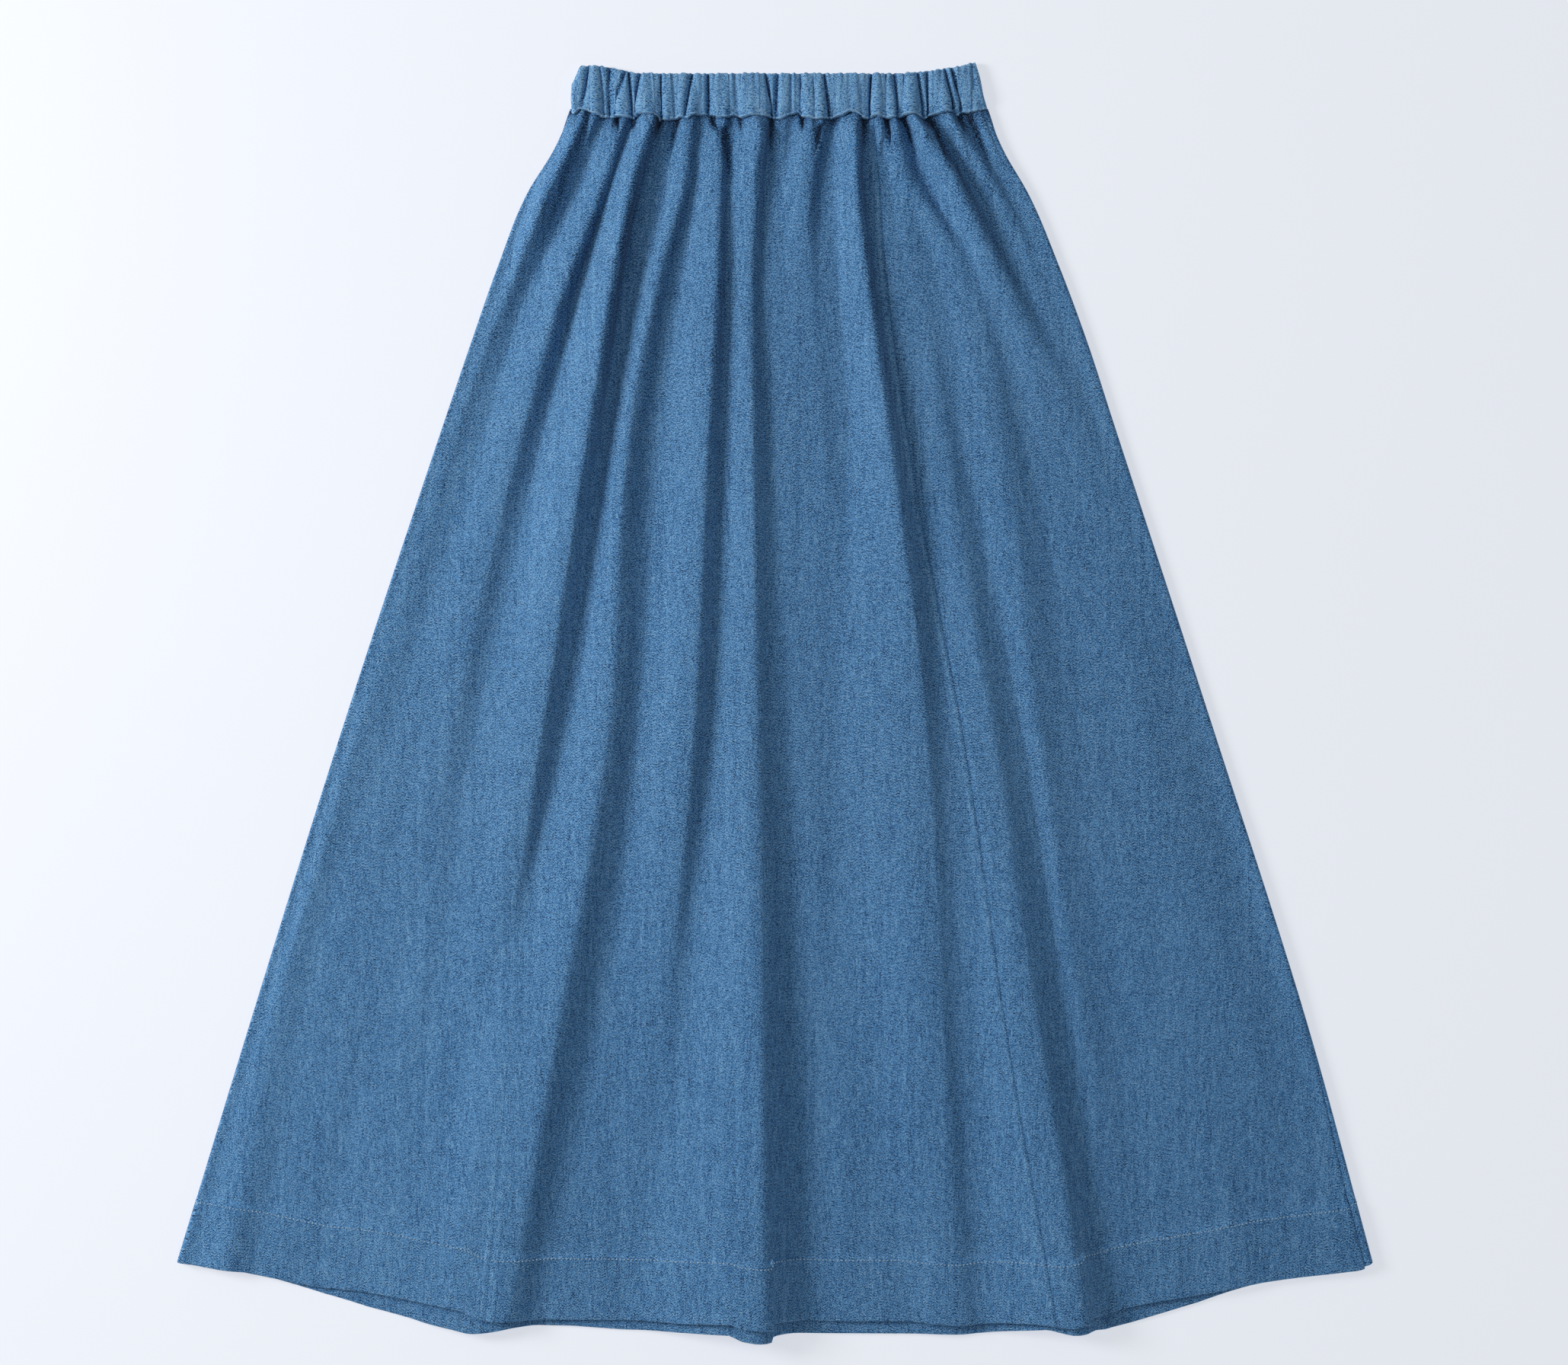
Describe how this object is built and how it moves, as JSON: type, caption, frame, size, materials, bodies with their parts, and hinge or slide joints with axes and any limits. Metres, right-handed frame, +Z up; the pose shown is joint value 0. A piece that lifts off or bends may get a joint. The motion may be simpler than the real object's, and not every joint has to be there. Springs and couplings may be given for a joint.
{
  "type": "denim skirt",
  "caption": "Long flared denim skirt of gathered gores on an elastic waistband, with a deep turned-up hem, lying flat on its back.",
  "frame": {"origin": "bottom centre of the skirt's box, on the surface it lies on", "axes": "+Y towards the waist, along the skirt's length; +X to the right as the front is seen; +Z up out of the front"},
  "size_m": [0.8624, 0.916, 0.0207],
  "materials": {
    "denim": "matt washed mid-blue denim with a fine vertical slub",
    "waistband_denim": "the same denim, gathered over elastic",
    "thread": "pale blue sewing thread"
  },
  "bodies": {
    "root": {"front_centre": "denim", "front_left": "denim", "front_right": "denim", "back_centre": "denim", "back_left": "denim", "back_right": "denim", "waistband": "waistband_denim"}
  },
  "joints": []
}
